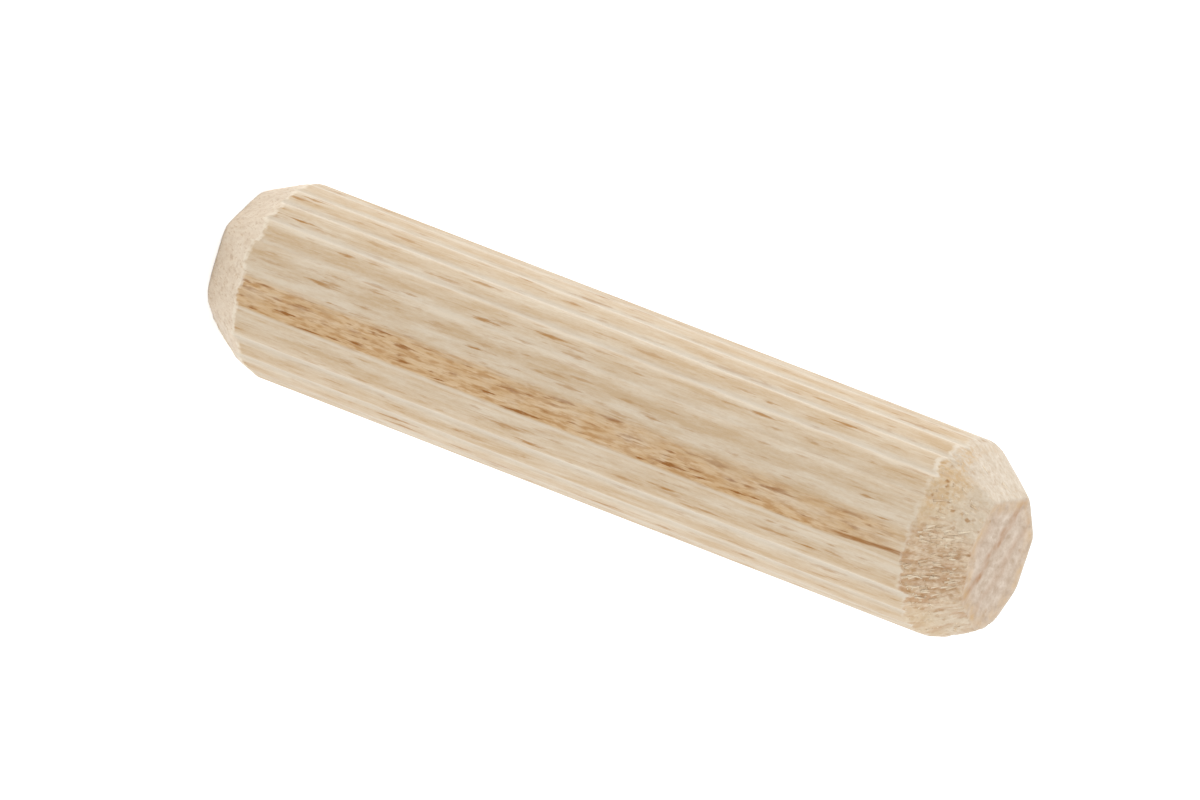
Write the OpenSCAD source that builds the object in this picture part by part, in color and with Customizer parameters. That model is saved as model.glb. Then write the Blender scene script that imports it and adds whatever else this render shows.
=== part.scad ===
// Straight-grooved wooden dowel pin: one length of beech, grooved, sawn off and chamfered.
// It stands on its far end. Z runs along its axis, and Z = 0 is the far end face.
// Angles round the pin start at the front, the -Y side, and grow towards the +X side.

/* [Pin] */
// Length over both end faces
pin_len = 35; // [24:1:60]
// Diameter over the lands, which is the hole that the pin suits
pin_d = 8; // [7:0.5:12]

/* [Grooves] */
// Number of straight grooves, evenly spaced
groove_count = 24; // [16:2:28]
// Width of a groove between two lands
groove_w = 0.26; // [0.16:0.02:0.4]
// Depth of a groove below the lands
groove_depth = 0.1; // [0.06:0.01:0.14]

/* [Near end] */
// Length of the chamfer along the pin
near_len = 1.85; // [1.2:0.05:3]
// Depth of the chamfer at the end face
near_depth = 1.15; // [0.8:0.05:1.6]
// Lean of the cutter from the pin's axis, in degrees
near_lean = 3; // [0:0.5:6]
// Side of the pin where the leaning cutter cuts steepest, in degrees round the pin
near_lean_at = -100; // [-180:1:180]
// Shift of the cutter away from that side
near_shift = 0.3; // [0:0.01:0.4]
// Length along the pin of the flats that the cutter left on the cone
near_flat_len = 2.05; // [1.8:0.05:3.2]

/* [Far end] */
// Length of the chamfer along the pin
far_len = 1.9; // [1.2:0.05:3]
// Depth of the chamfer at the end face
far_depth = 1; // [0.8:0.05:1.6]
// Lean of the cutter from the pin's axis, in degrees
far_lean = 3; // [0:0.5:6]
// Side of the pin where the leaning cutter cuts steepest, in degrees round the pin
far_lean_at = 148; // [-180:1:180]
// Shift of the cutter away from that side
far_shift = 0.2; // [0:0.01:0.4]
// Length along the pin of the flats that the cutter left on the cone
far_flat_len = 1.95; // [1.8:0.05:3.2]

/* [Torn lands] */
// Longest splinter lost from the end of a land
splinter_len = 0.3; // [0.1:0.05:0.6]
// Slope at which a splinter broke off the land, in degrees
splinter_slope = 20; // [12:1:30]

/* [Hidden] */
$fn = 96;

pin_r = pin_d / 2;
groove_pitch = 360 / groove_count;
// Radius of a groove's round bottom
groove_r = (pow(groove_w / 2, 2) + pow(groove_depth, 2)) / (2 * groove_depth);
// Width of a land from the middle of one groove to the middle of the next
land_w = 2 * pin_r * sin(groove_pitch / 2);
// How far the cutters reach past the pin
clear = pin_d / 2;
// How far a splinter's cut reaches out of the land, and along it
splinter_reach = 1;

// Each flat: degrees round the pin, and how much deeper than the chamfer it is at the end face
near_flats = [[-174, 0.3], [-131, 0.45], [-76, 0.73], [-14, 0.67], [22, 0.69], [66, 0.21], [152, 0]];
far_flats = [[-84, 0], [-46, 0.09], [10, 0.17], [36, 0.08], [63, 0.31], [112, 0.35], [160, 0.4], [208, 0.25]];

// Body section: a disc with one groove in front and one at every pitch from there
module grooved_section() {
    difference() {
        circle(r = pin_r);
        for (i = [0 : groove_count - 1])
            rotate(i * groove_pitch)
                translate([0, groove_depth - groove_r - pin_r])
                    circle(r = groove_r);
    }
}

// The grooved bar that the pin is sawn from
module grooved_bar() {
    linear_extrude(pin_len)
        grooved_section();
}

// What a leaning cutter leaves of a bar that ends at Z = 0: a cone, as wide as the pin where
// the chamfer starts
module chamfer_cone(len, depth, lean, lean_at, shift) {
    slope = depth / len;
    reach = pin_len + clear;
    rotate(lean_at)
        translate([0, shift, -len])
            rotate([-lean, 0, 0])
                translate([0, 0, -reach])
                    cylinder(
                        r1 = pin_r + slope * reach,
                        r2 = pin_r - slope * (len + clear / 2),
                        h = reach + len + clear / 2
                    );
}

// What the flats take off that cone, each from the land's surface down to its own depth
module chamfer_flats(len, depth, flats) {
    for (flat = flats)
        rotate(flat[0])
            translate([0, -pin_r, -len])
                rotate([-atan((depth + flat[1]) / len), 0, 0])
                    translate([-pin_r, -2 * clear, -pin_r])
                        cube([pin_d, 2 * clear, pin_d + 2 * clear]);
}

// Where the leaning cone starts on a land that lies a turn away from its steepest side, as a
// distance from the end face
function cone_start(len, depth, lean, shift, turn) =
    let (slope = depth / len, tilt = tan(lean))
        len + (shift - pin_r * slope * tilt) * cos(turn) / (slope + tilt * cos(turn));

// Share of the longest splinter that one edge of a land has kept: up to 0.8, uneven from edge to edge
function kept(edge) = 0.8 * abs(sin(edge * 67 + 20));

// The splinters that the cutter tore off the lands, each from groove to groove with a slanting end
module splinters(len, depth, lean, lean_at, shift) {
    for (i = [0 : groove_count - 1]) {
        at = (i + 0.5) * groove_pitch;
        start = cone_start(len, depth, lean, shift, at - lean_at);
        rotate(at)
            translate([0, -pin_r, -start - splinter_len])
                rotate([90 - splinter_slope, 0, 0])
                    linear_extrude(splinter_reach)
                        polygon([
                            [-land_w / 2, splinter_len * kept(2 * i)],
                            [land_w / 2, splinter_len * kept(2 * i + 1)],
                            [land_w / 2, splinter_reach],
                            [-land_w / 2, splinter_reach]
                        ]);
    }
}

// The whole pin: the bar, trimmed at both ends
module dowel_pin() {
    color([0.87, 0.79, 0.66])
        difference() {
            intersection() {
                grooved_bar();
                translate([0, 0, pin_len])
                    chamfer_cone(near_len, near_depth, near_lean, near_lean_at, near_shift);
                mirror([0, 0, 1])
                    chamfer_cone(far_len, far_depth, far_lean, far_lean_at, far_shift);
            }
            translate([0, 0, pin_len]) {
                chamfer_flats(near_flat_len, near_depth, near_flats);
                splinters(near_len, near_depth, near_lean, near_lean_at, near_shift);
            }
            mirror([0, 0, 1]) {
                chamfer_flats(far_flat_len, far_depth, far_flats);
                splinters(far_len, far_depth, far_lean, far_lean_at, far_shift);
            }
        }
}

dowel_pin();
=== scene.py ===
import math

import bpy
from mathutils import Matrix, Vector


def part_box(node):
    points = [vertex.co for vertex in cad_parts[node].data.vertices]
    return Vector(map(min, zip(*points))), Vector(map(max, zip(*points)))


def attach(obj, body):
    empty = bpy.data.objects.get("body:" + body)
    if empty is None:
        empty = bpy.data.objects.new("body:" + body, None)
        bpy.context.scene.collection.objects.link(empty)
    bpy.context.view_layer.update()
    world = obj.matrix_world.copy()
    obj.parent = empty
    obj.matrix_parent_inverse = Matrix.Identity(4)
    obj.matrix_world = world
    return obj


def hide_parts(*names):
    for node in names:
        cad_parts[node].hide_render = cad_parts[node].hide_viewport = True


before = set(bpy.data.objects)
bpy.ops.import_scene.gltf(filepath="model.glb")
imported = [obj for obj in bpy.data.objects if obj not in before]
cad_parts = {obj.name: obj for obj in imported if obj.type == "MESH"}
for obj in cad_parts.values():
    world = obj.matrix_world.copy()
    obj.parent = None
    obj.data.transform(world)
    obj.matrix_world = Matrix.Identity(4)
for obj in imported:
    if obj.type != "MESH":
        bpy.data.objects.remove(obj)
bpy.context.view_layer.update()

# A straight-grooved beech dowel pin that stands on its far end: its looks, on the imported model.
# Angles round the pin are in degrees, start at the front (-Y) and grow to the right (+X), as in
# the part's source. Heights run along the pin's axis, from the far end face at 0 to the near end
# face. An inset is the distance along the pin from an end face. Lengths are in metres, except
# the cells of patterns, the flats and the growth rings, which are in millimetres.

pin_low, pin_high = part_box("dowel_pin")
MM = 0.001

# ------------------------------------------------------------------ sizes of the pin

PIN_LENGTH = pin_high.z - pin_low.z
LAND_RADIUS = (pin_high.x - pin_low.x) / 2
PIN_MIDDLE = Vector((0, 0, PIN_LENGTH / 2))

GROOVE_COUNT = 24
PITCH = 360 / GROOVE_COUNT
GROOVE_WIDTH = 0.33 * MM
GROOVE_DEPTH = 0.06 * MM
# The grooves are shallower and less whitish at the front: where they fade out and where they come
# back, and the share of their depth and whiteness that is left between
GROOVES_FADE = (-44, -4)
GROOVES_RETURN = (32, 43)
FRONT_GROOVE_SHARE = 0.1
# How far from the middle of a groove its fibres are crushed: wholly, and at all
CRUSHED_CORE = GROOVE_WIDTH * 0.1
CRUSHED_REACH = 0.30 * MM
# How much lower a land is at its edges than in its middle, and the scale of its shallow waves
LAND_CROWN = 0.03 * MM
LAND_WAVES = 0.03 * MM

# The two chamfers, as the cutters left them. Each is a cone that leans and is shifted off the
# pin's axis, with flats cut into it: the angle of each flat, and how much deeper than the cone it
# is at the end face, in millimetres. The ridges between the flats are worn round, and the lands
# end ragged
NEAR_END = {
    "length": 1.85 * MM,
    "depth": 1.15 * MM,
    "lean": 3,
    "lean_at": -100,
    "shift": 0.3 * MM,
    "flat_length": 2.05 * MM,
    "flats": {-174: 0.3, -131: 0.45, -76: 0.73, -14: 0.67, 22: 0.69, 66: 0.21, 152: 0.0},
    "rounding": 0.20 * MM,
    "ragged": 1.5,
    "seed": 3,
}
FAR_END = {
    "length": 1.9 * MM,
    "depth": 1.0 * MM,
    "lean": 3,
    "lean_at": 148,
    "shift": 0.2 * MM,
    "flat_length": 1.95 * MM,
    "flats": {-152: 0.25, -84: 0.0, -46: 0.09, 10: 0.17, 36: 0.08, 63: 0.31, 112: 0.35, 160: 0.4},
    "rounding": 0.36 * MM,
    "ragged": 0.4,
    "seed": 8,
}

# How badly the cutters tore the wood, from 0 to 1. The near one tore it this much where it cut
# cleanly, and more or less by each change between two angles. The far one only chipped it, and
# more on one side, which lies between two soft edges
CLEAN_CUT = 0.15
TEARING = {(-48, -38): 0.43, (-5, 7): 0.42, (50, 62): -0.35, (110, 150): -0.50}
CHIPPED = 0.22
CHIPPED_MORE = 0.70
CHIPPED_SIDE = ((50, 75), (130, 160))
# How far they dragged the torn fibres to the left over each metre towards the end face, and how
# much less to the right of a soft edge
DRAG = 0.40
DRAG_LESS = 0.65
DRAG_EDGE = (0, 48)

# A usual splinter that is missing from the end of a land, and the slope that it left. The others
# are shares of its length: what every land lost, what differs from land to land and from edge to
# edge of a land, and what the torn side lost besides
SPLINTER_LENGTH = 0.34 * MM
SPLINTER_SLOPE = math.radians(18)
SPLINTER_LEAST = 0.1
SPLINTER_BY_LAND = 0.6
SPLINTER_SLANT = 1.2
SPLINTER_TORN = 0.7

# Rounding of the edge where a splinter's slope meets the chamfer, and where a land ends
SPLINTER_ROUNDING = 0.02 * MM
LAND_END_ROUNDING = 0.012 * MM

# Marks where the near chamfer starts, each on one side of the pin, as (from, to, softness): where
# the lip of crushed fibre, with its painted highlight, is whitest, and where the brown band beyond
# it, brown wood and painted shadow, is broad
WHITE_SIDE = (-62, -28, 3)
BROWN_SIDE = (-42, -12, 5)

# The end faces. Where each begins to turn over into its edge, as a share of the way out from the
# axis, how unevenly the saw left it, and how much handling has worn off the near one's edge
FACE_EDGE = 0.93
SAW_DEPTH = 0.09 * MM
EDGE_WEAR = 0.10 * MM

# Loose slivers: how many to a square millimetre where the wood is torn most, how far from the near
# end face the first ones grow, and between which distances from it the last ones do
SLIVERS = 18
SLIVER_MARGIN = 0.42 * MM
SLIVER_ZONE = (5 * MM, 6 * MM)
# Half the width and half the thickness of a sliver at its foot, each as (least, most), how much
# of its foot is left at its tip, and the share of its length that is rooted in the wood
SLIVER_WIDTH = (0.040 * MM, 0.085 * MM)
SLIVER_THICKNESS = (0.005 * MM, 0.012 * MM)
SLIVER_TIP = 0.10
SLIVER_ROOT = 0.3
SLIVER_SIDES = 6
# How far a sliver leans out, or below 0 in, and how far it sweeps to the right over each metre
# up, each as (least, most), and how many times the cutter's drag comes off that sweep
SLIVER_LEAN = (-0.94, -0.84)
SLIVER_SWEEP = (-0.55, 0.55)
SLIVER_DRAG = 1.2

# Mesh density: spokes round the pin, rings along it, which stand closer in the zone at each end,
# and rings across each end face
SPOKES = 480
NEAR_RINGS = 64
BODY_RINGS = 34
FAR_RINGS = 50
ALL_RINGS = FAR_RINGS + BODY_RINGS + NEAR_RINGS
FACE_RINGS = 14
NEAR_ZONE = 3.4 * MM
FAR_ZONE = 3.0 * MM


# ------------------------------------------------------------------ nodes and arithmetic


def feed(tree, item, slot):
    """Links a field or a socket to an input, or writes a plain value into it."""
    if isinstance(item, Field):
        tree.links.new(item.socket, slot)
    elif isinstance(item, bpy.types.NodeSocket):
        tree.links.new(item, slot)
    else:
        slot.default_value = item


def new_node(tree, kind, inputs=None, **settings):
    """Adds a node with these settings, and feeds its inputs by their labels."""
    node = tree.nodes.new(kind)
    for name, value in settings.items():
        setattr(node, name, value)
    for label, item in (inputs or {}).items():
        feed(tree, item, node.inputs[label])
    return node


class Field:
    """A number in a geometry or shader tree. Arithmetic on it adds the nodes that work it out."""

    def __init__(self, tree, socket):
        self.tree = tree
        self.socket = socket

    def math(self, operation, *others):
        """What a Math node makes of this number and the others."""
        node = new_node(self.tree, "ShaderNodeMath", operation=operation)
        for slot, item in zip(node.inputs, (self, *others)):
            feed(self.tree, item, slot)
        return Field(self.tree, node.outputs[0])

    def __add__(self, other):
        return self.math("ADD", other)

    def __sub__(self, other):
        return self.math("SUBTRACT", other)

    def __mul__(self, other):
        return self.math("MULTIPLY", other)

    def __truediv__(self, other):
        return self.math("DIVIDE", other)

    def __neg__(self):
        return self.math("MULTIPLY", -1.0)

    __radd__ = __add__
    __rmul__ = __mul__

    def __rsub__(self, other):
        return (-self) + other

    def sin(self):
        return self.math("SINE")

    def cos(self):
        return self.math("COSINE")

    def tan(self):
        return self.math("TANGENT")

    def abs(self):
        return self.math("ABSOLUTE")

    def floor(self):
        return self.math("FLOOR")

    def power(self, other):
        return self.math("POWER", other)

    def least(self, other):
        """The smaller of two numbers."""
        return self.math("MINIMUM", other)

    def most(self, other):
        """The larger of two numbers."""
        return self.math("MAXIMUM", other)

    def soft_least(self, other, blend):
        """The smaller of two numbers, rounded off where they cross."""
        return self.math("SMOOTH_MIN", other, blend)

    def swing(self, span):
        """A noise, which runs from 0 to 1, as a swing about 0 that spans this much."""
        return (self - 0.5) * span

    def ramp(self, low, high, start=0.0, end=1.0, shape="LINEAR"):
        """Goes straight from start at low to end at high, and stays there beyond them."""
        node = new_node(self.tree, "ShaderNodeMapRange", {
            "Value": self,
            "From Min": low,
            "From Max": high,
            "To Min": start,
            "To Max": end,
        }, interpolation_type=shape, clamp=True)
        return Field(self.tree, node.outputs[0])

    def step(self, low, high, start=0.0, end=1.0):
        """Goes smoothly from start at low to end at high, and stays there beyond them."""
        return self.ramp(low, high, start, end, "SMOOTHSTEP")

    def fall(self, low, high):
        """Goes smoothly from 1 at low to 0 at high, and stays there beyond them."""
        return self.step(low, high, 1.0, 0.0)

    def between(self, rise, fall):
        """1 between two soft edges, each a pair of limits, and 0 outside them."""
        return self.step(*rise) * self.fall(*fall)

    def window(self, low, high, soft):
        """1 between low and high, 0 outside, with edges this soft on either side."""
        return self.between((low - soft, low + soft), (high - soft, high + soft))


def split(tree, vector):
    """The three numbers of a vector."""
    node = new_node(tree, "ShaderNodeSeparateXYZ", {"Vector": vector})
    return [Field(tree, out) for out in node.outputs]


def join(tree, x, y, z):
    """A vector from three numbers."""
    return new_node(tree, "ShaderNodeCombineXYZ", {"X": x, "Y": y, "Z": z}).outputs[0]


def noise(tree, vector, detail=2, roughness=0.5):
    """Smooth noise, about 0 to 1, one cell to each unit of the vector."""
    node = new_node(tree, "ShaderNodeTexNoise", {
        "Vector": vector,
        "Scale": 1.0,
        "Detail": detail,
        "Roughness": roughness,
    }, noise_dimensions="3D")
    return Field(tree, node.outputs[0])


def cells(tree, vector, metric="EUCLIDEAN"):
    """Distance to the nearest of some scattered points, and three random numbers for that point."""
    node = new_node(tree, "ShaderNodeTexVoronoi", {"Vector": vector, "Scale": 1.0}, distance=metric)
    return Field(tree, node.outputs["Distance"]), split(tree, node.outputs["Color"])


def chance(tree, index, seed):
    """A random number from 0 to 1 for each whole number."""
    seeds_apart = 37.0
    node = new_node(tree, "ShaderNodeTexWhiteNoise", {"W": index + seed * seeds_apart},
                    noise_dimensions="1D")
    return Field(tree, node.outputs["Value"])


def grain_space(tree, xyz, across, along, seed):
    """Coordinates for a pattern whose cells measure across and along the grain, in millimetres."""
    x, y, z = xyz
    wide = 1 / (across * MM)
    long = 1 / (along * MM)
    return join(tree, x * wide + seed, y * wide - seed, z * long + 2 * seed)


def grain_noise(tree, xyz, across, along, seed, detail=2, roughness=0.5):
    """Noise whose cells measure across and along the grain, in millimetres."""
    return noise(tree, grain_space(tree, xyz, across, along, seed), detail, roughness)


# ------------------------------------------------------------------ from a tree to a piece


def store(tree, geometry, name, value, domain="POINT"):
    """Writes a field on the mesh's points, or on its instances, for the material to read."""
    node = new_node(tree, "GeometryNodeStoreNamedAttribute",
                    {"Geometry": geometry, "Name": name, "Value": value},
                    data_type="FLOAT", domain=domain)
    return node.outputs["Geometry"]


def new_tree(name, sizes):
    """A geometry tree with a named input for each size, and what comes in by each input."""
    tree = bpy.data.node_groups.new(name, "GeometryNodeTree")
    tree.interface.new_socket("Geometry", in_out="INPUT", socket_type="NodeSocketGeometry")
    for label in sizes:
        tree.interface.new_socket(label, in_out="INPUT", socket_type="NodeSocketFloat")
    tree.interface.new_socket("Geometry", in_out="OUTPUT", socket_type="NodeSocketGeometry")
    given = new_node(tree, "NodeGroupInput")
    return tree, {label: Field(tree, given.outputs[label]) for label in ("Geometry", *sizes)}


def finish_tree(tree, geometry, material):
    """Ends a tree in real geometry, shaded smooth, with its material."""
    smooth = new_node(tree, "GeometryNodeSetShadeSmooth", {"Geometry": geometry})
    real = new_node(tree, "GeometryNodeRealizeInstances", {"Geometry": smooth.outputs["Geometry"]})
    dressed = new_node(tree, "GeometryNodeSetMaterial",
                       {"Geometry": real.outputs["Geometry"], "Material": material})
    new_node(tree, "NodeGroupOutput", {"Geometry": dressed.outputs["Geometry"]})


def grow(name, draw, material, sizes, base=None):
    """A piece from the geometry tree that draw fills in, whose named inputs are the sizes. The
    tree runs on the mesh of base, if it is given, and the piece keeps a plain mesh."""
    tree, given = new_tree(name, sizes)
    finish_tree(tree, draw(tree, given), material)

    start = base.data.copy() if base else bpy.data.meshes.new(name + "_tree")
    seedling = bpy.data.objects.new(name + "_tree", start)
    bpy.context.scene.collection.objects.link(seedling)
    modifier = seedling.modifiers.new("shape", "NODES")
    modifier.node_group = tree
    for item in tree.interface.items_tree:
        if item.in_out == "INPUT" and item.name in sizes:
            modifier[item.identifier] = sizes[item.name]
    grown = seedling.evaluated_get(bpy.context.evaluated_depsgraph_get())
    mesh = bpy.data.meshes.new_from_object(grown)
    seedling.modifiers.remove(modifier)
    bpy.data.objects.remove(seedling)

    mesh.name = name
    piece = bpy.data.objects.new(name, mesh)
    bpy.context.scene.collection.objects.link(piece)
    return piece


# ------------------------------------------------------------------ places on the pin

# Whole pitches, which keep an angle above 0, as MODULO needs, and change nothing else
WHOLE_PITCHES = 100 * PITCH


def position(tree):
    """The x, y and z of each point that a geometry tree works on."""
    return split(tree, new_node(tree, "GeometryNodeInputPosition").outputs[0])


def round_pin(x, y):
    """The angle round the pin, from -180 to 180."""
    return x.math("ARCTAN2", -y) * math.degrees(1)


def from_axis(x, y):
    """The distance from the pin's axis."""
    return (x * x + y * y).power(0.5)


def round_width(width):
    """The angle that a width takes up on the pin's surface."""
    return math.degrees(width / LAND_RADIUS)


def off_groove(angle):
    """Degrees round the pin from a spot to the middle of the nearest groove."""
    turn = (angle + (WHOLE_PITCHES + PITCH / 2)).math("MODULO", PITCH)
    return (turn - PITCH / 2).abs()


def across_land(angle):
    """Place of a spot across its land, from 0 at one groove to 1 at the next."""
    return (angle + WHOLE_PITCHES).math("MODULO", PITCH) * (1 / PITCH)


def groove_share(angle):
    """How much of each groove is left, which is least at the front."""
    fading = angle.step(*GROOVES_FADE, start=1.0, end=FRONT_GROOVE_SHARE)
    return (fading + angle.step(*GROOVES_RETURN, end=1 - FRONT_GROOVE_SHARE)).least(1.0)


def torn_share(angle):
    """How badly the near cutter tore the wood, from 0 to 1."""
    torn = CLEAN_CUT
    for (low, high), change in TEARING.items():
        torn = torn + angle.step(low, high) * change
    return torn


def drag(angle):
    """How far the cutters dragged the torn fibres to the left, for each metre towards the end
    face. Below 0 it is to the right."""
    return DRAG - angle.step(*DRAG_EDGE) * DRAG_LESS


def swirl(xyz, turn):
    """Coordinates turned about the pin's axis by a small angle, in radians."""
    x, y, z = xyz
    return x + y * turn, y - x * turn, z


def dragged(xyz, inset, angle):
    """Coordinates that follow the torn fibres round the pin."""
    return swirl(xyz, inset * drag(angle) * (1 / LAND_RADIUS))


# ------------------------------------------------------------------ the pin's two ends

# soft_least takes up to a sixth of its blend off where two flats cross. To make up for that,
# chamfer adds this share of the blend all over
SOFT_LEAST_LOSS = 0.12
# A flat that faces further away than this cosine is never the lowest surface
FACING_AWAY = 0.3


def chamfer_cone(angle, inset, end):
    """Radius of the leaning cone, and how far from the end face it starts."""
    cone_angle = math.atan(end["depth"] / end["length"])
    lean = math.radians(end["lean"])
    side = ((angle - end["lean_at"]) * math.radians(1)).cos()
    slope = (side * lean + cone_angle).tan()
    start = end["length"] - side * (LAND_RADIUS * math.sin(lean))
    radius = LAND_RADIUS - side * end["shift"] - slope * (start - inset)
    return radius, start + side * end["shift"] / slope


def chamfer(angle, inset, end):
    """Radius of the cone with its flats and their rounded ridges, and how far from the end face
    the cone starts."""
    surface, start = chamfer_cone(angle, inset, end)
    for at, deeper in end["flats"].items():
        at_face = LAND_RADIUS - end["depth"] - deeper * MM
        facing = ((angle - at) * math.radians(1)).cos().most(FACING_AWAY)
        flat = inset * ((LAND_RADIUS - at_face) / end["flat_length"]) + at_face
        surface = surface.soft_least(flat / facing, end["rounding"])
    return surface + end["rounding"] * SOFT_LEAST_LOSS, start


def torn_relief(tree, xyz, torn, seed):
    """How far the torn surface stands out: bundles of fibre that broke off at different heights."""
    bundles = grain_space(tree, xyz, across=0.16, along=0.62, seed=seed)
    strands = grain_space(tree, xyz, across=0.11, along=0.40, seed=seed + 2)
    bundle_edge, bundle = cells(tree, bundles)
    strand_edge, strand = cells(tree, strands)
    lumps = grain_noise(tree, xyz, across=0.55, along=0.9, seed=seed + 4)
    return torn * (
        lumps.swing(0.20 * MM)
        + bundle[0].swing(0.05 * MM)
        - bundle_edge * (0.02 * MM)
        + strand[0].swing(0.025 * MM)
        - strand_edge * (0.015 * MM)
    )


def splintered_lands(tree, drum, inset, start, torn, end):
    """Radius of the slopes that the missing splinters left at the ends of the lands."""
    land = (drum.angle * (1 / PITCH)).floor()
    by_land = chance(tree, land, end["seed"]) * SPLINTER_BY_LAND
    aslant = chance(tree, land, end["seed"] + 1) - 0.5
    slant = aslant * (across_land(drum.angle) - 0.5) * SPLINTER_SLANT
    ragged = grain_noise(tree, drum.on_bar, across=0.17, along=3.0, seed=end["seed"] + 5,
                         detail=3, roughness=0.6)
    lost = by_land + slant + ragged.swing(end["ragged"]) + torn * SPLINTER_TORN + SPLINTER_LEAST
    return LAND_RADIUS - (start + lost * SPLINTER_LENGTH - inset) * math.tan(SPLINTER_SLOPE)


def end_surface(tree, drum, inset, torn, end):
    """Radius of one end, with its chamfer and its splintered lands, and how far the torn wood
    stands out of it."""
    surface, start = chamfer(drum.angle, inset, end)
    relief = torn_relief(tree, dragged(drum.on_bar, inset, drum.angle), torn, end["seed"])
    lands = splintered_lands(tree, drum, inset, start, torn, end)
    return (surface + relief).soft_least(lands, SPLINTER_ROUNDING), relief


# ------------------------------------------------------------------ the whole pin


def ring_height(level, length):
    """Height of each ring: close together at the two ends, far apart along the plain grooves."""
    far_top = FAR_RINGS / ALL_RINGS
    near_foot = (FAR_RINGS + BODY_RINGS) / ALL_RINGS
    return (
        level.ramp(0.0, far_top, 0.0, FAR_ZONE)
        + level.ramp(far_top, near_foot) * (length - (FAR_ZONE + NEAR_ZONE))
        + level.ramp(near_foot, 1.0, 0.0, NEAR_ZONE)
    )


class Drum:
    """A closed drum, 1 in radius and 1 high, that is drawn in to the pin, and what is known of
    each of its points: its angle round the pin, its share of the way out from the axis and of
    the way up, the height that it goes to, and its place on a plain bar."""

    def __init__(self, tree, length):
        drum = new_node(tree, "GeometryNodeMeshCylinder", {
            "Vertices": SPOKES,
            "Side Segments": ALL_RINGS,
            "Fill Segments": FACE_RINGS,
            "Radius": 1.0,
            "Depth": 1.0,
        }, fill_type="TRIANGLE_FAN")
        self.mesh = drum.outputs["Mesh"]
        x, y, z = position(tree)
        self.angle = round_pin(x, y)
        self.share = from_axis(x, y)
        self.level = z + 0.5
        self.near_half = self.level.step(0.4, 0.6)
        self.height = ring_height(self.level, length)
        self.on_bar = self.at(LAND_RADIUS)

    def at(self, radius):
        """The place of each point at this distance from the axis."""
        turn = self.angle * math.radians(1)
        return turn.sin() * radius, -(turn.cos() * radius), self.height


def grooved_bar(tree, drum, given):
    """Radius of the grooved bar, and how deep in a groove and how crushed each spot is."""
    left = groove_share(drum.angle)
    aside = off_groove(drum.angle)
    groove = aside.fall(0.0, round_width(GROOVE_WIDTH / 2)) * left
    crown = across_land(drum.angle) * 2.0 - 1.0
    waves = grain_noise(tree, drum.on_bar, across=0.45, along=6, seed=2) - 0.5
    radius = (
        given["Land radius"]
        - groove * given["Groove depth"]
        - crown * crown * given["Land crown"]
        - waves.abs() * LAND_WAVES
    )
    uneven = grain_noise(tree, drum.on_bar, across=0.9, along=7, seed=1) * 0.9 + 0.55
    crushed = aside.fall(round_width(CRUSHED_CORE), round_width(CRUSHED_REACH)) * left * uneven
    return radius, groove, crushed


def both_ends(tree, drum, length):
    """Radius of the two ends, and how far the near one's torn wood stands out."""
    near_inset = length - drum.height
    near, relief = end_surface(tree, drum, near_inset, torn_share(drum.angle), NEAR_END)
    chipped = drum.angle.between(*CHIPPED_SIDE) * CHIPPED_MORE + CHIPPED
    far, _ = end_surface(tree, drum, drum.height, chipped, FAR_END)
    return near.least(far), relief


def cut_marks(tree, drum, above, relief):
    """Marks for the material, each from 0 to 1: the cut wood of the chamfers, the whitish lip
    where it starts, crushed fibre with a painted highlight, the brown band beyond that lip, brown
    wood with painted shadow, and the hollows of the torn wood, for painted shade. above is how far
    the bar would stand out over the cut wood."""
    cut = above.step(-0.005 * MM, 0.015 * MM)

    whiter = drum.angle.window(*WHITE_SIDE) * drum.near_half
    fringe = grain_noise(tree, drum.on_bar, across=0.22, along=9, seed=12).step(0.35, 0.6)
    whiteness = (whiter * 0.55 + fringe * (0.95 - drum.near_half * 0.50)).least(1.0)
    # The lip is whitish crushed fibre with a painted highlight along the edge where the lands end
    lip_and_painted_highlight = above.window(-0.03 * MM, 0.03 * MM, 0.012 * MM) * whiteness

    # The band beyond the lip is brown wood with painted shadow below the lip's edge
    narrow = above.window(0.05 * MM, 0.40 * MM, 0.05 * MM) * (whiter * 0.6 + 0.4)
    broad = above.window(0.05 * MM, 0.80 * MM, 0.20 * MM) * drum.angle.window(*BROWN_SIDE)
    brown_and_painted_shadow_beyond_lip = (narrow + broad).least(1.0) * drum.near_half

    # Painted shade: the torn wood gets a darker, warmer colour where its relief sinks lowest
    painted_hollow_shade = relief.fall(-0.06 * MM, -0.005 * MM) * cut * drum.near_half
    return {"cut": cut, "lip_and_painted_highlight": lip_and_painted_highlight, "brown_and_painted_shadow_beyond_lip": brown_and_painted_shadow_beyond_lip, "painted_hollow_shade": painted_hollow_shade}


def sawn_faces(tree, drum, radius):
    """Where each point goes, with the two end faces sawn unevenly, and marks for the material:
    the inner part of an end face, the whole face, and its rim."""
    off_cap = 0.0001
    far_cap = drum.level.fall(0.0, off_cap)
    near_cap = drum.level.step(1 - off_cap, 1.0)
    inner = drum.share.fall(FACE_EDGE, 0.985)
    face = drum.share.step(FACE_EDGE, 1.0, start=1.0, end=0.45) * (far_cap + near_cap)
    rim = drum.share.step(0.70, FACE_EDGE)

    x, y, height = drum.at(radius * drum.share)
    sawn = grain_noise(tree, (x, y, height), across=0.5, along=1.0, seed=6, detail=3, roughness=0.6)
    sunk = inner * sawn * SAW_DEPTH
    inward = drum.level.step(0.49, 0.51, start=1.0, end=-1.0)
    worn = drum.share.step(FACE_EDGE, 1.0) * near_cap * sawn * EDGE_WEAR
    return join(tree, x, y, height + sunk * inward - worn), inner, face, rim


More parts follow.
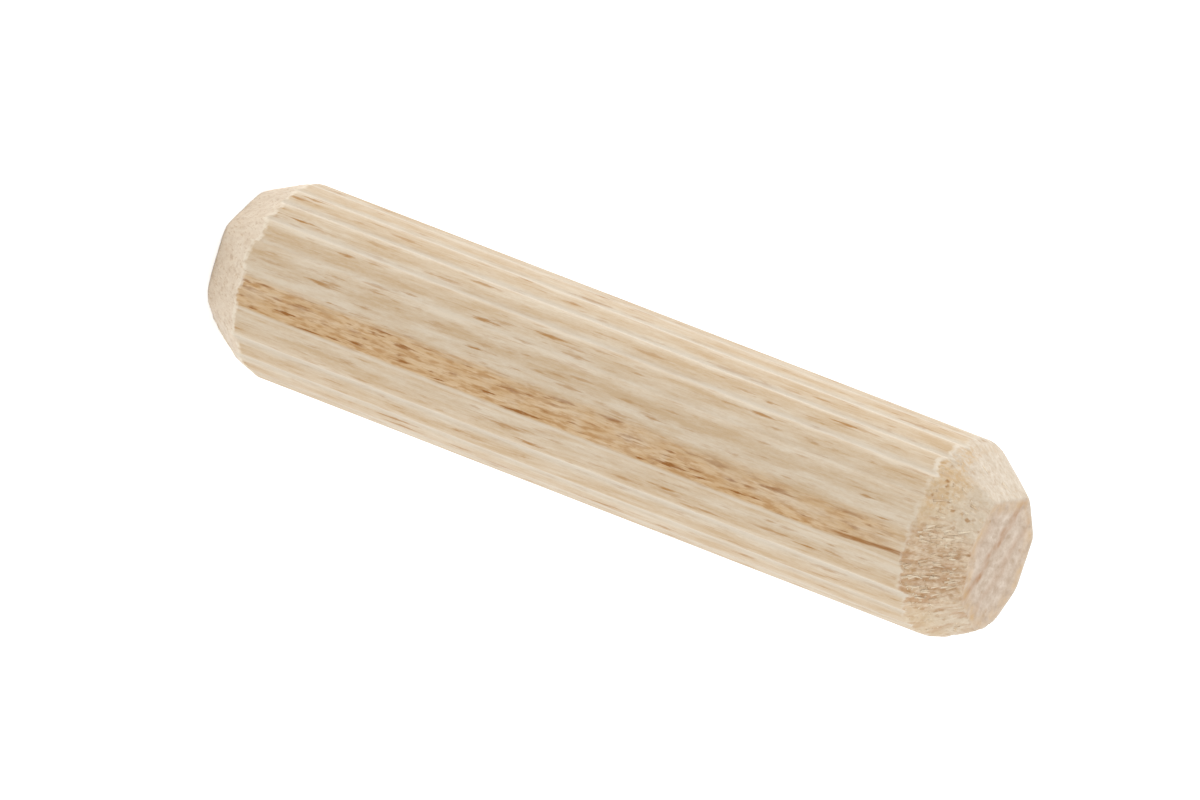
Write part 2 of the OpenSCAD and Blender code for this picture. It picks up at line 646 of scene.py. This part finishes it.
def draw_pin(tree, given):
    """Draws a drum in to the grooved, chamfered and torn pin, and marks its surface."""
    drum = Drum(tree, given["Length"])
    bar, groove, crushed = grooved_bar(tree, drum, given)
    ends, relief = both_ends(tree, drum, given["Length"])
    marks = cut_marks(tree, drum, bar - ends, relief)
    radius = bar.soft_least(ends, LAND_END_ROUNDING)
    place, inner, face, rim = sawn_faces(tree, drum, radius)

    uncut = 1.0 - marks["cut"]
    off_face = 1.0 - inner
    stored = {"groove": groove * uncut, "crushed": crushed * uncut}
    stored.update({name: mark * off_face for name, mark in marks.items()})
    stored.update({"end_face": face, "rim": rim * face})

    # The marks read the drum as it was, so they are stored before it is drawn in
    marked = drum.mesh
    for name, mark in stored.items():
        marked = store(tree, marked, name, mark)
    drawn = new_node(tree, "GeometryNodeSetPosition", {"Geometry": marked, "Position": place})
    return drawn.outputs["Geometry"]


# ------------------------------------------------------------------ loose slivers


def random_value(tree, low, high, seed):
    """A random number for each point."""
    node = new_node(tree, "FunctionNodeRandomValue", {"Min": low, "Max": high, "Seed": seed},
                    data_type="FLOAT")
    return Field(tree, node.outputs["Value"])


def aim(tree, axis, vector, rotation=None, pivot="AUTO"):
    """Turns a rotation, about the pivot axis alone if there is one, until axis points along
    vector."""
    inputs = {"Vector": vector}
    if rotation:
        inputs["Rotation"] = rotation
    node = new_node(tree, "FunctionNodeAlignRotationToVector", inputs, axis=axis, pivot_axis=pivot)
    return node.outputs["Rotation"]


def sliver_spots(tree, wood):
    """Scattered points on the torn side of the near end, and the way that the wood faces there."""
    x, y, z = position(tree)
    cut = new_node(tree, "GeometryNodeInputNamedAttribute", {"Name": "cut"}, data_type="FLOAT")
    is_cut = Field(tree, cut.outputs["Attribute"]).step(0.9, 1.0)
    torn = torn_share(round_pin(x, y))
    inset = PIN_LENGTH - z
    band = inset.between((SLIVER_MARGIN, SLIVER_MARGIN * 1.3), SLIVER_ZONE)
    density = is_cut * (torn * torn * band * (SLIVERS / MM / MM))
    scatter = new_node(tree, "GeometryNodeDistributePointsOnFaces",
                       {"Mesh": wood, "Density": density, "Seed": 7})
    return scatter.outputs["Points"], scatter.outputs["Normal"]


def sliver_turn(tree, normal):
    """How each sliver is turned: up along the chamfer, swept round the pin as the cutter dragged
    it, with its flat side on the wood."""
    x, y, _ = position(tree)
    radius = from_axis(x, y)
    lean = random_value(tree, *SLIVER_LEAN, seed=1) / radius
    pull = drag(round_pin(x, y)) * SLIVER_DRAG
    sweep = (random_value(tree, *SLIVER_SWEEP, seed=2) - pull) / radius
    heading = join(tree, x * lean - y * sweep, y * lean + x * sweep, 1.0)
    upright = aim(tree, "Z", heading)
    return aim(tree, "Y", normal, rotation=upright, pivot="Z")


def plant_slivers(tree, given):
    """Flat spikes at the scattered points, each with its foot sunk in the wood."""
    points, normal = sliver_spots(tree, given["Geometry"])
    spike = new_node(tree, "GeometryNodeMeshCone", {
        "Vertices": SLIVER_SIDES,
        "Side Segments": 3,
        "Radius Top": SLIVER_TIP,
        "Radius Bottom": 1.0,
        "Depth": 1.0,
    }, fill_type="TRIANGLE_FAN")
    share = random_value(tree, 0.0, 1.0, seed=3)
    length = given["Shortest"] + share * (given["Longest"] - given["Shortest"])
    width = random_value(tree, *SLIVER_WIDTH, seed=4)
    thickness = random_value(tree, *SLIVER_THICKNESS, seed=5)
    planted = new_node(tree, "GeometryNodeInstanceOnPoints", {
        "Points": points,
        "Instance": spike.outputs["Mesh"],
        "Rotation": sliver_turn(tree, normal),
        "Scale": join(tree, width, thickness, length),
    })
    sunk = new_node(tree, "GeometryNodeTranslateInstances", {
        "Instances": planted.outputs["Instances"],
        "Translation": join(tree, 0.0, 0.0, -length * SLIVER_ROOT),
    })
    paleness = random_value(tree, 0.0, 1.0, seed=6)
    return store(tree, sunk.outputs["Instances"], "paleness", paleness, "INSTANCE")


def draw_slivers(tree, given):
    """Thin flat slivers that lie on the torn wood, and stand out past neither the lands nor the
    end faces."""
    planted = plant_slivers(tree, given)
    real = new_node(tree, "GeometryNodeRealizeInstances", {"Geometry": planted})
    x, y, z = position(tree)
    drawn_in = (given["Reach limit"] / from_axis(x, y)).least(1.0)
    moved = new_node(tree, "GeometryNodeSetPosition", {
        "Geometry": real.outputs["Geometry"],
        "Position": join(tree, x * drawn_in, y * drawn_in, z.least(PIN_LENGTH).most(0.0)),
    })
    return moved.outputs["Geometry"]


# ------------------------------------------------------------------ beech


def colour(red, green, blue):
    """A colour from its usual 0 to 255 values, as Blender's linear colour."""

    def linear(value):
        value = value / 255
        return value / 12.92 if value <= 0.04045 else ((value + 0.055) / 1.055) ** 2.4

    return (linear(red), linear(green), linear(blue), 1.0)


# The lands
PALE = colour(221, 206, 184)
TAN = colour(202, 176, 142)
FLECK = colour(174, 127, 72)
CRUSHED = colour(227, 216, 199)
# The dark growth line, which is late wood
LATE = colour(198, 160, 112)
LATE_PALE = colour(221, 195, 160)
LATE_MID = colour(180, 134, 82)
LATE_DARK = colour(154, 102, 50)
# The near chamfer, where it is cut cleanly, tan, and torn
CUT_PALE = colour(223, 212, 196)
CUT_SHADE = colour(194, 176, 153)
TAN_CUT = colour(222, 206, 182)
TAN_SHADE = colour(198, 174, 141)
TORN_PALE = colour(220, 201, 176)
TORN_SHADE = colour(189, 158, 125)
# The far chamfer and its lip, paler than the near ones: painted light that makes up for the light
# that the far end, facing the floor, lacks
FAR_PALE_PAINTED_LIGHT = colour(244, 231, 212)
FAR_DARK_PAINTED_LIGHT = colour(220, 200, 176)
FAR_FRINGE_PAINTED_LIGHT = colour(248, 238, 220)
# Marks on the cut wood, and the loose slivers
SCRATCH = colour(196, 164, 124)
PIT = colour(166, 124, 80)
# Brown wood and painted shadow beyond the near lip; it also tints the rims of the end faces
EARTH = colour(201, 169, 127)
# Painted shade for the hollows of the torn wood
HOLLOW_PAINTED_SHADE = colour(176, 132, 92)
SLIVER_PALE = colour(230, 214, 189)
SLIVER_SHADE = colour(204, 178, 146)
# The end faces
END_PALE = colour(215, 199, 182)
END_SHADE = colour(183, 161, 139)
END_LATE = colour(178, 143, 114)

# The fibres run round the pin by this much for each metre along it, in radians
GRAIN_TWIST = -6.0
# The growth line's fuzzy left edge, its sharp right edge, and the pale groove beside that. At the
# near end the line leaves a dark seam at its right edge. The groove and the seam are (from, to,
# softness)
LINE_LEFT = (4.0, 10.0)
LINE_RIGHT = (23.3, 24.5)
BESIDE_LINE = (24.8, 26.6, 0.5)
SEAM = (21.6, 23.7, 0.6)
# How many degrees the line wanders, and the length along the pin of one bend
LINE_WANDER = 3.0
WANDER_LENGTH = 4 * MM
# Heights between which the line gets a little paler, then narrows and fades, and its seam starts
LINE_PALES = (19 * MM, 31 * MM)
LINE_NARROWS = (29 * MM, 33 * MM)
LINE_FADES = (30.5 * MM, 33 * MM)
SEAM_STARTS = (28.5 * MM, 30.5 * MM)
# Sides of the near chamfer that are tan and that are torn, each by its two soft edges. The tan
# side is half as tan next to the end face, and wholly so further down
TAN_SIDE = ((-48, -36), (100, 120))
TORN_SIDE = ((-7, 9), (48, 64))
HALF_TAN = 0.5 * MM
ALL_TAN = 1.5 * MM
# Direction across the growth rings, in degrees round from +X, and how far each dark ring lies
# from the axis, in millimetres, with its strength
RING_TURN = math.radians(68)
GROWTH_RINGS = {-1.7: 0.30, -0.4: 0.85, 0.9: 0.36}
# Size of the pores of the end faces, along x and y
PORES = (0.30 * MM, 0.55 * MM)


def tint(tree, share, below, above):
    """Mixes two colours: below where share is 0, above where it is 1 or more."""
    node = new_node(tree, "ShaderNodeMix", {"Factor": share, "A": below, "B": above},
                    data_type="RGBA", clamp_factor=True)
    return node.outputs["Result"]


def read(tree, name):
    """A mark that a geometry tree stored."""
    node = new_node(tree, "ShaderNodeAttribute", attribute_name=name)
    return Field(tree, node.outputs["Fac"])


def flecks(tree, xyz, fray, across, along, size, share, seed):
    """Pointed dashes along the grain: up to 1 in a dash, and 0 outside.

    They lie this far apart across and along the grain, in millimetres, and a share of the places
    holds one. size is half a dash as a share of its place, and fray is a noise that frays it.
    """
    distance, dice = cells(tree, grain_space(tree, xyz, across, along, seed), "MANHATTAN")
    bare = 1 - share
    held = dice[0].step(bare - 0.02, bare + 0.02)
    reach = (dice[1] * 0.6 + 0.7) * size
    frayed = distance / reach + fray.swing(1.7)
    return held * frayed.fall(0.28, 1.10) * (dice[2] * 0.6 + 0.4)


class Grain:
    """The noises that every face of the wood shares, in the grain's own directions."""

    def __init__(self, tree):
        place = new_node(tree, "ShaderNodeTexCoord")
        self.tree = tree
        self.xyz = split(tree, place.outputs["Object"])
        x, y, self.height = self.xyz
        self.angle = round_pin(x, y)
        self.near_half = self.height.step(15 * MM, 20 * MM)
        self.grained = swirl(self.xyz, self.height * GRAIN_TWIST)
        self.broad = self.noise(across=0.9, along=9.0, seed=1)
        self.patches = self.noise(across=0.34, along=2.6, seed=6, detail=3, roughness=0.55)
        self.streaks = self.noise(across=0.12, along=1.5, seed=2, detail=3, roughness=0.6)
        self.hair = self.noise(across=0.05, along=0.55, seed=3, roughness=0.6)
        self.fuzz = self.noise(across=0.07, along=0.22, seed=8, roughness=0.7)
        self.dust = self.noise(across=0.16, along=0.30, seed=4, detail=4, roughness=0.65)
        self.mottle = self.noise(across=0.5, along=0.9, seed=5, detail=3)

    def noise(self, across, along, seed, detail=2, roughness=0.5):
        """Noise whose cells measure across and along the grain, in millimetres."""
        return grain_noise(self.tree, self.grained, across, along, seed, detail, roughness)

    def flecks(self, across, along, size, share, seed):
        """Pointed dashes, so many millimetres apart across and along the grain."""
        return flecks(self.tree, self.grained, self.hair, across, along, size, share, seed)


def lands(tree, grain):
    """Colour of the lands, and their flecks: pale beech, tan in patches and along the middle of
    each land, with brown flecks along the grain."""
    middle = across_land(grain.angle).window(0.28, 0.84, 0.18)
    tone = (
        grain.patches.swing(1.9)
        + grain.broad.swing(0.8)
        + grain.streaks.swing(0.8)
        + grain.hair.swing(0.7)
        + grain.fuzz.swing(0.7)
        - middle.swing(0.35)
        + 0.5
    )
    large = grain.flecks(across=0.31, along=3.2, size=0.38, share=0.92, seed=21)
    small = grain.flecks(across=0.22, along=2.0, size=0.36, share=0.80, seed=31)
    faint = grain.flecks(across=0.18, along=1.3, size=0.38, share=0.70, seed=36)
    hairlines = grain.noise(across=0.055, along=2.2, seed=17, detail=1).step(0.66, 0.80)
    wood = tint(tree, tone, TAN, PALE)
    for brown, strength in ((large, 0.95), (small, 0.55), (faint, 0.22), (hairlines, 0.35)):
        wood = tint(tree, brown * strength, wood, FLECK)
    return wood, large.most(small * 0.5)


def late_wood(tree, grain):
    """Colour of late wood: light brown with darker clots, and dark flecks of two sizes."""
    tone = grain.patches.swing(1.6) + grain.hair.swing(1.2) + 0.5
    clots = grain.noise(across=0.14, along=0.80, seed=13, detail=3, roughness=0.6).step(0.44, 0.64)
    large = grain.flecks(across=0.29, along=2.3, size=0.44, share=0.95, seed=11)
    small = grain.flecks(across=0.21, along=1.5, size=0.40, share=0.75, seed=14)
    wood = tint(tree, tone, LATE, LATE_PALE)
    wood = tint(tree, clots * 0.75, wood, LATE_MID)
    wood = tint(tree, small * 1.4, wood, LATE_DARK)
    return tint(tree, large * 1.8, wood, LATE_DARK)


def growth_line(tree, grain, wood):
    """Lays one line of late wood on the lands, along the whole pin, fuzzy to the left and sharp
    to the right."""
    along = join(tree, grain.height * (1 / WANDER_LENGTH), 0.0, 0.0)
    wander = noise(tree, along).swing(LINE_WANDER)
    fray = grain.streaks.swing(8.0) + grain.patches.swing(6.0)
    left = (grain.angle - wander + fray).step(*LINE_LEFT)
    narrowing = grain.height.step(*LINE_NARROWS) * 2.5
    steadier = grain.angle + wander * 0.1 + fray * 0.12 + narrowing
    right = steadier.fall(*LINE_RIGHT)
    fading = grain.height.step(*LINE_PALES) * 0.10 + grain.height.step(*LINE_FADES) * 0.40
    strength = (grain.mottle.swing(1.4) + grain.broad.swing(1.8) + 1.0 - fading).least(1.0)
    wood = tint(tree, grain.angle.window(*BESIDE_LINE) * 0.45, wood, CRUSHED)
    wood = tint(tree, left * right * strength, wood, late_wood(tree, grain))
    seam = steadier.window(*SEAM) * grain.height.step(*SEAM_STARTS)
    return tint(tree, seam * (grain.streaks * 3.0 - 0.7) * 0.85, wood, LATE_DARK)


def torn_wood(tree, grain):
    """Colour of the two chamfers, and their pits: smooth and pinkish, tan with pits, or torn and
    darker, with painted shade in the torn wood's hollows. The far chamfer's colours are painted
    lighter, to make up for the light that it lacks."""
    inset = PIN_LENGTH - grain.height
    tan = grain.angle.between(*TAN_SIDE) * grain.near_half
    torn = grain.angle.between(*TORN_SIDE) * grain.near_half
    speckle = grain.dust.swing(1.6) + grain.mottle.swing(1.0) + 0.5
    near = tint(tree, speckle, CUT_SHADE, CUT_PALE)
    # Painted light: the far chamfer's colours are paler, to make up for the light it loses facing
    # the floor
    far = tint(tree, speckle, FAR_DARK_PAINTED_LIGHT, FAR_PALE_PAINTED_LIGHT)
    earthy = tint(tree, speckle, TAN_SHADE, TAN_CUT)
    wood = tint(tree, grain.near_half, far, near)
    wood = tint(tree, tan * inset.step(HALF_TAN, ALL_TAN, start=0.5), wood, earthy)

    fibres = dragged(grain.xyz, inset.least(grain.height), grain.angle)
    strands = grain_noise(tree, fibres, across=0.12, along=0.60, seed=9, roughness=0.6)
    clumps = grain_noise(tree, fibres, across=0.34, along=0.60, seed=10)
    ripped = strands.swing(2.2) + clumps.swing(2.2) + 0.5
    wood = tint(tree, torn, wood, tint(tree, ripped, TORN_SHADE, TORN_PALE))

    pits = flecks(tree, fibres, grain.dust, across=0.34, along=0.50, size=0.46, share=0.75, seed=41)
    pitted = tan * 0.45 + read(tree, "brown_and_painted_shadow_beyond_lip") * 0.40 + 0.30
    scratches = grain_noise(tree, fibres, across=0.09, along=0.7, seed=43, roughness=0.6)
    scratched = 0.45 - grain.near_half * 0.10
    # Painted shade in the hollows of the torn wood
    wood = tint(tree, read(tree, "painted_hollow_shade") * 0.60, wood, HOLLOW_PAINTED_SHADE)
    wood = tint(tree, pits * pitted, wood, PIT)
    wood = tint(tree, scratches.step(0.56, 0.68) * scratched, wood, SCRATCH)
    return wood, pits * (tan * 0.4 + 0.1)


def end_grain(tree, grain):
    """Colour of the end faces: mottled, with a few dark rings that cross them aslant."""
    x, y, _ = grain.xyz
    wander = grain.noise(across=1.5, along=40, seed=7, detail=3, roughness=0.6).swing(0.9 * MM)
    across = x * math.cos(RING_TURN) + y * math.sin(RING_TURN) + wander
    by_pore = join(tree, x * (1 / PORES[0]), y * (1 / PORES[1]), 3.0)
    pores = noise(tree, by_pore, detail=4, roughness=0.62)
    wood = tint(tree, pores.swing(2.6) + grain.mottle.swing(1.2) + 0.5, END_SHADE, END_PALE)
    width = pores.swing(0.7 * MM) + 0.38 * MM
    for at, strength in GROWTH_RINGS.items():
        ring = (across - at * MM).abs().step(width * 0.1, width, start=strength, end=0.0)
        wood = tint(tree, ring * (grain.mottle * 3.6 - 1.0), wood, END_LATE)
    specks = grain.flecks(across=0.34, along=0.6, size=0.36, share=0.35, seed=47)
    wood = tint(tree, specks * 0.6, wood, PIT)
    soiled = read(tree, "rim") * (grain.mottle * 3.0 - 1.0)
    return tint(tree, soiled * 0.75, wood, EARTH)


def new_wood(name, fuzz):
    """A dry, matt material, as fuzzy as fuzz says, and its tree and shader."""
    material = bpy.data.materials.new(name)
    material.use_nodes = True
    shader = material.node_tree.nodes["Principled BSDF"]
    shader.inputs["Roughness"].default_value = 0.8
    shader.inputs["Specular IOR Level"].default_value = 0.2
    shader.inputs["Sheen Weight"].default_value = fuzz
    shader.inputs["Sheen Roughness"].default_value = 0.35
    return material, material.node_tree, shader


def beech():
    """The whole pin's wood, by the marks on each spot."""
    material, tree, shader = new_wood("beech", fuzz=0.30)
    grain = Grain(tree)
    near = grain.near_half
    cut = read(tree, "cut")
    end_face = read(tree, "end_face")

    wood, brown = lands(tree, grain)
    wood = growth_line(tree, grain, wood)
    patchy = grain.streaks.swing(1.4) + 0.9
    wood = tint(tree, read(tree, "crushed") * 0.45 * patchy, wood, CRUSHED)
    wood = tint(tree, read(tree, "groove").step(0.15, 0.9) * 0.75 * patchy, wood, CRUSHED)

    torn, pits = torn_wood(tree, grain)
    wood = tint(tree, cut, wood, torn)
    # Beyond the lip: brown wood with painted shadow. The lip: crushed fibre with a painted
    # highlight
    blotches = grain.noise(across=0.17, along=0.28, seed=19, detail=3, roughness=0.6)
    blotched = blotches.step(0.40, 0.62) * 0.62 + 0.03
    wood = tint(tree, read(tree, "brown_and_painted_shadow_beyond_lip") * blotched, wood, EARTH)
    # Painted light: the lip's colour at the far end is lighter still, to make up for the far end's
    # shade
    fringe = tint(tree, near, FAR_FRINGE_PAINTED_LIGHT, CRUSHED)
    wood = tint(tree, read(tree, "lip_and_painted_highlight") * (near * 0.20 + 0.65), wood, fringe)
    wood = tint(tree, end_face, wood, end_grain(tree, grain))
    feed(tree, wood, shader.inputs["Base Color"])

    # Relief too fine for the mesh
    skin = 1.0 - cut.most(end_face)
    on_skin = grain.hair.swing(0.5) + grain.streaks.swing(0.6) - brown * 0.2
    on_cuts = (grain.dust - 0.5) * (near * 0.4 + 0.15) - pits * near
    bump = new_node(tree, "ShaderNodeBump", {
        "Strength": 0.6,
        "Distance": 0.03 * MM,
        "Height": on_skin * skin + on_cuts * (1.0 - skin),
    })
    feed(tree, bump.outputs["Normal"], shader.inputs["Normal"])
    return material


def sliver_wood():
    """The loose slivers' wood: each one paler or browner than the next."""
    material, tree, shader = new_wood("loose_sliver", fuzz=0.0)
    wood = tint(tree, read(tree, "paleness"), SLIVER_SHADE, SLIVER_PALE)
    feed(tree, wood, shader.inputs["Base Color"])
    return material


# ------------------------------------------------------------------ stage, light and camera

WHITE = (1.0, 1.0, 1.0, 1.0)
FLOOR_GREY = (0.86, 0.86, 0.86, 1.0)
FLOOR_SIZE = 3.0
# How much the floor's own light adds, for the camera and in reflections, to make the floor white
FLOOR_GLOW = 0.45
# How strongly the sky lights the pin. The camera sees the sky at 1, which is white
SKY_LIGHT = 0.95

# The camera looks down on the pin from the front, turned so that the pin lies aslant in view
CAMERA_DISTANCE = 1.10
CAMERA_TILT = math.radians(26.75)
CAMERA_ROLL = math.radians(111.09)
CAMERA_LENS = 847
SENSOR_WIDTH = 36
# How far the middle of the pin lies from the middle of the frame, right and down, in metres
PIN_RIGHT = 0.83 * MM
PIN_DOWN = 0.32 * MM


def seen_by(tree, *rays):
    """1 for these kinds of ray, and 0 for the others."""
    path = new_node(tree, "ShaderNodeLightPath")
    seen = Field(tree, path.outputs[rays[0]])
    for ray in rays[1:]:
        seen = seen.most(Field(tree, path.outputs[ray]))
    return seen


def white_stage():
    """A pale floor that shows white to the camera and keeps the pin's soft shadow."""
    material = bpy.data.materials.new("pale_floor")
    material.use_nodes = True
    tree = material.node_tree
    shader = tree.nodes["Principled BSDF"]
    shader.inputs["Base Color"].default_value = FLOOR_GREY
    shader.inputs["Roughness"].default_value = 1.0
    shader.inputs["Specular IOR Level"].default_value = 0.0
    shown = seen_by(tree, "Is Camera Ray", "Is Glossy Ray", "Is Transmission Ray")
    glow = new_node(tree, "ShaderNodeEmission", {"Color": WHITE, "Strength": shown * FLOOR_GLOW})
    both = new_node(tree, "ShaderNodeAddShader")
    tree.links.new(shader.outputs[0], both.inputs[0])
    tree.links.new(glow.outputs[0], both.inputs[1])
    tree.links.new(both.outputs[0], tree.nodes["Material Output"].inputs["Surface"])

    bpy.ops.mesh.primitive_plane_add(size=FLOOR_SIZE, location=(0, 0, pin_low.z))
    floor = bpy.context.object
    floor.name = "floor"
    floor.data.materials.append(material)


def soft_sky():
    """Even soft light from all round, white to the camera."""
    world = bpy.data.worlds.new("studio")
    bpy.context.scene.world = world
    world.use_nodes = True
    tree = world.node_tree
    back = tree.nodes["Background"]
    back.inputs["Color"].default_value = WHITE
    strength = seen_by(tree, "Is Camera Ray") * (1.0 - SKY_LIGHT) + SKY_LIGHT
    feed(tree, strength, back.inputs["Strength"])


def soft_box(name, place, size, power):
    """A square lamp that faces the middle of the pin."""
    light = bpy.data.lights.new(name, "AREA")
    light.shape = "SQUARE"
    light.size = size
    light.energy = power
    lamp = bpy.data.objects.new(name, light)
    bpy.context.scene.collection.objects.link(lamp)
    lamp.location = place
    lamp.rotation_euler = (PIN_MIDDLE - lamp.location).to_track_quat("-Z", "Y").to_euler()


def place_camera():
    """The view from the front and above, with the pin's near end towards the lower right."""
    data = bpy.data.cameras.new("camera")
    data.lens = CAMERA_LENS
    data.sensor_width = SENSOR_WIDTH
    data.clip_start = 0.05
    data.clip_end = 10.0
    eye = bpy.data.objects.new("camera", data)
    bpy.context.scene.collection.objects.link(eye)
    bpy.context.scene.camera = eye
    back = Vector((0, -math.cos(CAMERA_TILT), math.sin(CAMERA_TILT)))
    level = Vector((1, 0, 0))
    up = back.cross(level)
    right = level * math.cos(CAMERA_ROLL) + up * math.sin(CAMERA_ROLL)
    top = back.cross(right)
    target = PIN_MIDDLE - right * PIN_RIGHT + top * PIN_DOWN
    turn = Matrix((right, top, back)).transposed().to_4x4()
    eye.matrix_world = Matrix.Translation(target + back * CAMERA_DISTANCE) @ turn


# ------------------------------------------------------------------ making it

pin = grow("grooved_pin", draw_pin, beech(), {
    "Length": PIN_LENGTH,
    "Land radius": LAND_RADIUS,
    "Groove depth": GROOVE_DEPTH,
    "Land crown": LAND_CROWN,
})
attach(pin, "root")
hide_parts("dowel_pin")

slivers = grow("torn_slivers", draw_slivers, sliver_wood(), {
    "Shortest": 0.28 * MM,
    "Longest": 0.62 * MM,
    "Reach limit": LAND_RADIUS - 0.01 * MM,
}, base=pin)
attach(slivers, "root")

white_stage()
soft_sky()
soft_box("key", place=(-0.60, 0.12, 0.24), size=0.5, power=1.5)
soft_box("fill", place=(0.55, 0.15, 0.20), size=0.5, power=0.9)
place_camera()

bpy.context.scene.view_settings.view_transform = "Standard"
